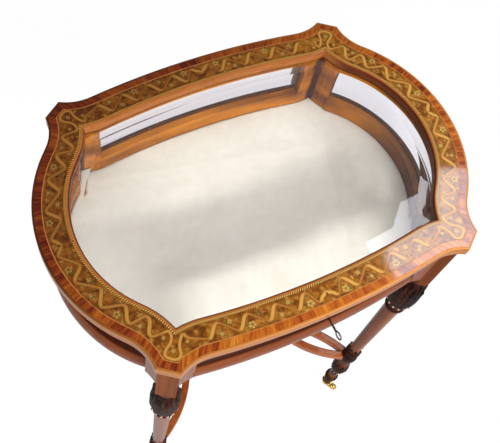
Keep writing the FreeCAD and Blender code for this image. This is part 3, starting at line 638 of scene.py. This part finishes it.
# Glass: bent plate with a bevelled edge in the sides, held in grooves by thin inner beads, and
# one plate in the lid. It lets lamp light through, so that the case stays light inside.
glass, start = new_finish("plate glass")
clear = start.add("ShaderNodeBsdfTransparent", None, {"Color": (0.95, 0.97, 0.96, 1.0)})
plate = start.add("ShaderNodeBsdfPrincipled", None,
                  {"Base Color": (0.965, 0.96, 0.985, 1.0), "Roughness": 0.0, "IOR": 1.45,
                   "Transmission Weight": 1.0})
show(start, shader_mix(start, on_ray(start, "Shadow"), plate, clear))
clad(glass, "side_glass_front", "side_glass_back", "side_glass_left", "side_glass_right", "lid_glass")
bead_wood = wood("bead wood", shade(82, 46, 20), shade(42, 20, 8), (60.0, 60.0, 240.0), coat=0.0)
clad(bead_wood, "glazing_beads", "lid_glass_bead")

# Hinges and screws: two cast brass butt hinges let into the back rail of the case and the lid,
# each turning on a pin, and brass screws.
clad(brass, "lid_hinge_leaves", "case_hinge_leaves", "hinge_pins", "lid_screws", "case_screws")

# Lock and key: a box lock let into the front rail, whose hook bolt turns with the key into a
# staple on the lid. The key is dark iron and the escutcheon is brass.
iron, start = new_finish("dark iron")
worn = noise(own_place(start), 420.0, 4.0)
colour = mixed(start, shade(58, 50, 46), shade(138, 128, 118), (worn - 0.5) * 2.4 + 0.4)
show(start, start.add("ShaderNodeBsdfPrincipled", None,
                      {"Base Color": colour, "Metallic": 0.9, "Roughness": worn * 0.3 + 0.2,
                       "Normal": bumped(worn, 0.3, 0.00006)}))
clad(iron, "key", "lock_bolt")
clad(brass, "escutcheon", "lock_case", "lock_strike_plate")

# Lid frame: four shaped rails mitred through the ears, edged all round with a rounded moulding
# of paler wood, and lined with an ovolo moulding round the glass.
lid_x = wood("lid front wood", shade(170, 92, 44), shade(104, 44, 18), along_x)
lid_y = wood("lid end wood", shade(170, 92, 44), shade(104, 44, 18), along_y)
clad(lid_x, "lid_front_rail", "lid_back_rail")
clad(lid_y, "lid_left_rail", "lid_right_rail")
round_grain = (40.0, 40.0, 260.0)
edge_shoulder, lining_shoulder = 0.7588, 0.7597


def lit_by_painted_light(start, colour, dim=(0.44, 0.36, 0.30, 1.0), way=(1.8, -1.8, 0.0)):
    """The colour of a wood on the lid under painted light: paler towards the way, and deeper away from it.
    """
    light = own_place(start).vector_math("DOT_PRODUCT", way, out="Value")
    return mixed(start, mixed(start, colour, dim, 1.0, "MULTIPLY"), colour, light + 0.5)


edge_wood, start = new_finish("edge wood")
place = own_place(start)
fibre = grain(place, round_grain)
# Painted light: the top of the edge moulding is coloured paler than its sides, as if lit from above, and
# darkens strongly towards the back.
side_tone = mixed(start, shade(124, 70, 26), shade(176, 114, 50), fibre)
painted_lit_top = lit_by_painted_light(start, shade(214, 138, 66), (0.12, 0.07, 0.06, 1.0))
polished(start, mixed(start, side_tone, painted_lit_top, place.axis("Z") > edge_shoulder), fibre, 0.35, 0.15)
clad(edge_wood, "lid_edge_moulding")

moulding_wood, start = new_finish("inner moulding wood")
place = own_place(start)
fibre = grain(place, round_grain)
# Painted light and shade: the inner face of the moulding is salmon at the back, as if lit by the window
# lamp, and dark at the sides and front, as if in shade; its top lip is paler, as if lit from above.
painted_light_at_back = place.axis("Y") * 30.0 - 3.4
lining = mixed(start, mixed(start, shade(58, 24, 10), shade(100, 46, 20), fibre),
               mixed(start, shade(112, 62, 26), shade(158, 98, 48), fibre), painted_light_at_back)
painted_lit_lip = mixed(start, shade(150, 78, 34), shade(196, 118, 62), fibre)
polished(start, mixed(start, lining, painted_lit_lip, place.axis("Z") > lining_shoulder), fibre, 0.35, 0.2)
clad(moulding_wood, "lid_inner_moulding")

# Veneers of the lid: a crossbanding laid in short pieces with the grain across, a pale string,
# the marquetry ground and a chequer string, all 1 mm thick and flush.
lid_top, veneer = 0.760, 0.001
band_inset, string_inset, ground_inset, chequer_inset, lining_inset = 0.003, 0.0125, 0.0135, 0.0395, 0.0430


def veneers(name, outer, inner, material, node):
    levels = [(outer, lid_top - veneer), (outer, lid_top), (inner, lid_top), (inner, lid_top - veneer)]
    return piece(name, rims(levels), material, "lid", [node], smooth=False)


def own_chart(start):
    return start.add("ShaderNodeTexCoord", out="UV")


leaf_length = 0.0235
crossband, start = new_finish("crossbanding wood")
chart = own_chart(start)
leaf = (chart.axis("X") / leaf_length).alone("FLOOR")
side = own_place(start).vector_math("SIGN")
tint = start.add("ShaderNodeTexWhiteNoise", {"noise_dimensions": "4D"}, {"Vector": side, "W": leaf})
streak = noise(stretched(chart, (520.0, 70.0, 1.0)), 1.0, 4.0, 0.65)
figure = noise(stretched(chart, (150.0, 22.0, 1.0)), 1.0, 3.0, 0.6)
colour = ramp(streak * 0.9 + figure * 1.4 + tint * 0.42 - 0.86,
              (0.0, shade(92, 30, 6)), (0.3, shade(150, 60, 14)), (0.55, shade(190, 98, 26)),
              (0.8, shade(218, 128, 38)), (1.0, shade(238, 164, 62)))
polished(start, lit_by_painted_light(start, colour, (0.34, 0.22, 0.20, 1.0), (1.6, -2.2, 0.0)), streak, 0.3, 0.9)
veneers("crossbanding_veneer", band_inset, string_inset, crossband, "lid_crossbanding")

string_wood = wood("string wood", shade(210, 146, 84), shade(160, 94, 46), even_grain,
                   contrast=1.2, pores=0.1)
veneers("outer_string", string_inset, ground_inset, string_wood, "lid_outer_stringing")

ground, start = new_finish("marquetry ground")
place = own_place(start)
ground_grain = (26.0, 260.0, 260.0)
fibre = grain(place, ground_grain)
patch = noise(place, 42.0, 3.0, 0.6)
colour = ramp(fibre * 0.7 + grain(place, ground_grain, figure_size) * 0.6 + patch * 1.3 - 0.85,
              (0.0, shade(112, 58, 10)), (0.35, shade(158, 92, 20)), (0.6, shade(186, 118, 30)),
              (1.0, shade(212, 150, 56)))
warp = noise(place, 70.0, 2.0, out="Color")
sprays = {"Vector": warp.vector_math("MULTIPLY_ADD", (0.016, 0.016, 0.0), place), "Scale": 150.0}
reach = start.add("ShaderNodeTexVoronoi", None, sprays)
kind = start.add("ShaderNodeSeparateColor", None,
                 {"Color": start.add("ShaderNodeTexVoronoi", None, sprays, out="Color")})
colour = mixed(start, colour, shade(112, 62, 16), (reach - 0.46) * 2.4)
spray = mixed(start, shade(146, 108, 32), shade(216, 168, 84), kind)
colour = mixed(start, colour, spray, (0.40 - reach) * 4.0 * (kind > 0.22))
polished(start, lit_by_painted_light(start, colour), fibre, 0.3, 0.9)
veneers("marquetry_ground", ground_inset, chequer_inset, ground, "lid_marquetry_band")

chequer_pitch, dash_from, dash_to, line_from = 0.0034, 0.0397, 0.0423, 0.0425
chequer, start = new_finish("chequer string")
chart = own_chart(start)
inset = chart.axis("Y")
fibre = grain(own_place(start), (300.0, 300.0, 300.0))
phase = (chart.axis("X") + (inset - chequer_inset) * 0.6) / chequer_pitch
dash = (phase.alone("FRACT") < 0.5) * (inset > dash_from) * (inset < dash_to)
pale = mixed(start, shade(240, 184, 84), shade(255, 214, 128), fibre)
dark = mixed(start, shade(44, 18, 2), shade(78, 36, 8), fibre)
colour = mixed(start, mixed(start, dark, pale, dash), shade(214, 140, 56), inset > line_from)
polished(start, lit_by_painted_light(start, colour, (0.72, 0.6, 0.44, 1.0)), fibre, 0.3, 0.5)
veneers("chequer_string", chequer_inset, lining_inset, chequer, "lid_chequer_stringing")

# Marquetry: a ribbon that waves along the ground and loops round each ear, with flowers in its
# outer hollows and leaves in its inner ones. Each colour is its own wood, let in and level.
bends = [(long_centre, long_bow, -1, 90.0, -8.135), (long_flank, flank, 1, -98.135, 26.7),
         (end_flank, flank, 1, 185.8, 36.3), (end_centre, end_bow, -1, 42.13, -42.13)]
middle_inset = 0.0265
bend_lengths = [abs(math.radians(turn)) * (radius + side * middle_inset)
                for _, radius, side, _, turn in bends]
to_end = sum(bend_lengths)
inlay_depth = 0.0002
sprig_rise, leaf_rise, petal_rise, ribbon_rise, heart_rise = 0.00002, 0.00003, 0.00004, 0.00006, 0.00007


def on_band(along, inset):
    """The place on the lid at a distance along the marquetry from the middle of the back."""
    for (centre, radius, side, heading, turn), length in zip(bends, bend_lengths):
        if along <= length or centre is end_centre:
            angle = math.radians(heading + turn * along / length)
            reach = radius + side * inset
            return Vector((centre.x + reach * math.cos(angle), centre.y + reach * math.sin(angle), 0))
        along -= length


def on_ear(out, across):
    return Vector((leg_x, leg_y, 0)) + ear_out * out + ear_across * across


def heading_way(turn):
    return Vector((math.cos(turn), math.sin(turn), 0))


def smoothed(knots, count):
    """Points of a smooth line through the knots, count to each stretch."""
    stretches = []
    padded = [2 * knots[0] - knots[1]] + knots + [2 * knots[-1] - knots[-2]]
    for before, here, there, after in zip(padded, padded[1:], padded[2:], padded[3:]):
        stretches.append(interpolate_bezier(here, here + (there - before) / 6,
                                            there - (after - here) / 6, there, count))
    return stretches


def ribbon(shape, knots, height, count=9):
    """A flat band of veneer through knots, each a (place, tone, width), with a UV map of the tone
    and of the way across."""
    tone = shape.verts.layers.float.get("tone") or shape.verts.layers.float.new("tone")
    side = shape.verts.layers.float.get("side") or shape.verts.layers.float.new("side")
    line = []
    for number, stretch in enumerate(smoothed([knot[0] for knot in knots], count)):
        for step, place in enumerate(stretch[:-1]):
            share = step / (count - 1)
            line.append([place] + [here + (there - here) * share
                                   for here, there in zip(knots[number][1:], knots[number + 1][1:])])
    line.append(list(knots[-1]))
    last = len(line) - 1
    for vert in bmesh.ops.create_grid(shape, x_segments=last, y_segments=1, size=1.0)["verts"]:
        number = round((vert.co.x + 1) / 2 * last)
        ahead = line[min(number + 1, last)][0] - line[max(number - 1, 0)][0]
        aside = Vector((-ahead.y, ahead.x, 0)).normalized() * vert.co.y
        vert[tone], vert[side] = line[number][1], vert.co.y / 2 + 0.5
        place = line[number][0] + aside * line[number][2] / 2
        vert.co = (place.x, place.y, height)


def petal(shape, place, heading, length, width, height, tip=0.0):
    """A flat petal or leaf that starts at a place and points along a heading."""
    turned = (Matrix.Translation((place.x, place.y, height)) @ Matrix.Rotation(heading, 4, "Z")
              @ Matrix.Diagonal((length / 2, width / 2, 1, 1)) @ Matrix.Translation((1, 0, 0)))
    made = bmesh.ops.create_circle(shape, cap_ends=True, segments=12, radius=1.0)["verts"]
    for vert in made:
        vert.co.y *= 1 - tip * vert.co.x ** 2
    bmesh.ops.transform(shape, matrix=turned, verts=made)


def over_lid(shape):
    """Repeats a quarter of the pattern over the four quarters of the lid and gives it thickness."""
    for flip in ((-1, 1, 1), (1, -1, 1)):
        copy = bmesh.ops.duplicate(shape, geom=shape.verts[:] + shape.edges[:] + shape.faces[:])["geom"]
        bmesh.ops.scale(shape, vec=flip, verts=verts_in(copy))
    for face in shape.faces:
        if face.normal.z < 0:
            face.normal_flip()
    whole = bmesh.ops.extrude_face_region(shape, geom=shape.faces[:], use_keep_orig=True)["geom"]
    bmesh.ops.translate(shape, vec=(0, 0, -inlay_depth), verts=verts_in(whole))
    return shape


def inlay(name, pale, dark):
    """A veneer of one wood, let into the ground."""
    material, start = new_finish(name)
    place = own_place(start)
    scale = (320.0, 128.0, 320.0)
    fibre = grain(place, scale)
    tone = (fibre * 0.8 + grain(place, scale, figure_size) * 0.8 - 0.8) * 1.6 + 0.5
    polished(start, lit_by_painted_light(start, mixed(start, dark, pale, tone)), fibre, 0.3, 0.9)
    return material


front_turns = ((0.0, 0.010), (0.029, 0.040), (0.068, 0.0785), (0.1065, 0.117), (0.145, 0.1555))
end_turns = ((0.0, 0.009), (0.037, 0.048), (0.079, 0.091), (0.117, 0.128), (0.148, 0.159))
ear_turns = ((-0.0235, 0.0150), (-0.0262, 0.0070), (-0.0200, 0.0050), (-0.0110, 0.0060), (-0.0015, 0.0098),
             (0.0042, 0.0068), (0.0056, -0.0005), (0.0034, -0.0078), (-0.0035, -0.0085),
             (-0.0130, -0.0053), (-0.0210, -0.0062), (-0.0258, -0.0110), (-0.0215, -0.0180))
thinnest, swelling, ear_width = 0.0028, 0.0032, 0.0046


def wave(turns, start_at, way, tone):
    """Knots of the ribbon from the middle of a side: a light stroke outwards and a dusky return."""
    knots = []
    for inner, outer in turns:
        spots = [(0.0, middle_inset, 1.0)]
        if inner:
            spots = [(inner - 0.0060, 0.0332, tone), (inner - 0.0008, 0.0345, 0.75),
                     (inner + 0.0030, 0.0310, 1.0)]
        spots += [(outer - 0.0025, 0.0225, 1.0), (outer + 0.0008, 0.0192, 0.9),
                  (outer + 0.0055, 0.0196, tone)]
        knots += [(on_band(start_at + way * along, inset), share, thinnest + swelling * share)
                  for along, inset, share in spots]
    return knots


last_turn = len(ear_turns) - 1
ear_knots = [(on_ear(out, across), 0.5 if number in (0, last_turn) else 0.95, ear_width)
             for number, (out, across) in enumerate(ear_turns)]
shape = bmesh.new()
ribbon(shape, wave(front_turns, 0.0, 1, 0.25) + ear_knots + wave(end_turns, to_end, -1, 0.6)[::-1],
       lid_top + ribbon_rise)
chart = shape.loops.layers.uv.new("ribbon")
tone, side = shape.verts.layers.float["tone"], shape.verts.layers.float["side"]
for face in shape.faces:
    for corner in face.loops:
        corner[chart].uv = (corner.vert[tone], corner.vert[side])
ribbon_wood, start = new_finish("ribbon wood")
chart = own_chart(start)
fibre = grain(own_place(start), (320.0, 320.0, 320.0))
colour = mixed(start, shade(172, 100, 38), shade(232, 172, 82), chart.axis("X") + (fibre - 0.5) * 0.5)
burnt = ((chart.axis("Y") - 0.5).alone("ABSOLUTE") - 0.26) * 4
polished(start, lit_by_painted_light(start, mixed(start, colour, shade(104, 54, 12), burnt)), fibre, 0.3, 0.7)
piece("marquetry_ribbon", over_lid(shape), ribbon_wood, "lid", smooth=False)

flowers, hearts, green, brown = bmesh.new(), bmesh.new(), bmesh.new(), bmesh.new()


def sprig(shape, place, heading, size, bend):
    """A thin curling stalk."""
    knots = [(place + heading_way(heading + bend * share * share) * size * share, 0.0,
              0.0009 - 0.0004 * share) for share in (0.0, 0.35, 0.7, 1.0)]
    ribbon(shape, knots, lid_top + sprig_rise, 5)


def flower(place, heading, size, petals):
    for step in range(petals):
        turn = heading + math.tau * (step + 0.25) / petals
        petal(flowers, place + heading_way(turn) * 0.0003, turn, size, size * 4 / petals,
              lid_top + petal_rise)
    bmesh.ops.create_circle(hearts, cap_ends=True, segments=8, radius=size * 0.27,
                            matrix=Matrix.Translation((place.x, place.y, lid_top + heart_rise)))


def foliage(place, heading, turns, length):
    for step, turn in enumerate(turns):
        petal((green, brown)[step % 2], place, heading + turn, length * (1 - 0.12 * (step % 3)),
              length * 0.36, lid_top + leaf_rise, 0.8)


hollows = []
for turns, start_at, way in ((front_turns, 0.0, 1), (end_turns, to_end, -1)):
    for number, ((_, outer), (inner_next, _)) in enumerate(zip(turns, turns[1:])):
        hollows.append((start_at + way * (inner_next - 0.0040), 0.0205, way, number, True))
        hollows.append((start_at + way * (outer + 0.0105), 0.0325, way, number, False))
for along, inset, way, number, outside in hollows:
    place = on_band(along, inset)
    lean = (on_band(along + 0.001, inset) - place) * way
    heading = math.atan2(lean.y, lean.x)
    if outside and number % 2 == 0:
        flower(place, heading, 0.0046, 5)
        foliage(place, heading, (0.4, math.pi - 0.4, -0.35, math.pi + 0.35), 0.0105)
        sprig(brown, place, heading + math.pi - 0.1, 0.0150, -0.5 * way)
    elif outside:
        foliage(place, heading, (0.3, 1.3, 2.4, 3.4, 4.4, 5.4), 0.0078)
        flower(place, heading, 0.0022, 4)
        sprig(brown, place, heading + math.pi, 0.0125, -0.6 * way)
    else:
        foliage(place, heading, (0.2, 0.9, -0.6, 2.9, 2.2, -2.6), 0.0084)
        sprig(brown, place, heading + 0.2, 0.0110, 0.7 * way)
        if number % 2:
            flower(place, heading, 0.0028, 4)
for out, across, size in ((-0.0040, 0.0, 0.0024), (-0.0190, 0.0135, 0.0020), (-0.0165, -0.0145, 0.0020)):
    spot = on_ear(out, across)
    flower(spot, ear_angle, size, 4)
    foliage(spot, ear_angle, (0.5, math.pi - 0.5, -0.5, math.pi + 0.5), size * 2.3)
flower_wood = inlay("flower wood", shade(226, 192, 104), shade(196, 152, 66))
heart_wood = inlay("flower heart wood", shade(190, 112, 44), shade(150, 80, 28))
leaf_wood = inlay("leaf wood", shade(152, 128, 56), shade(112, 86, 30))
brown_wood = inlay("brown leaf wood", shade(208, 136, 66), shade(156, 88, 32))
piece("marquetry_flowers", over_lid(flowers), flower_wood, "lid", smooth=False)
piece("marquetry_hearts", over_lid(hearts), heart_wood, "lid", smooth=False)
piece("marquetry_green_leaves", over_lid(green), leaf_wood, "lid", smooth=False)
piece("marquetry_brown_leaves", over_lid(brown), brown_wood, "lid", smooth=False)
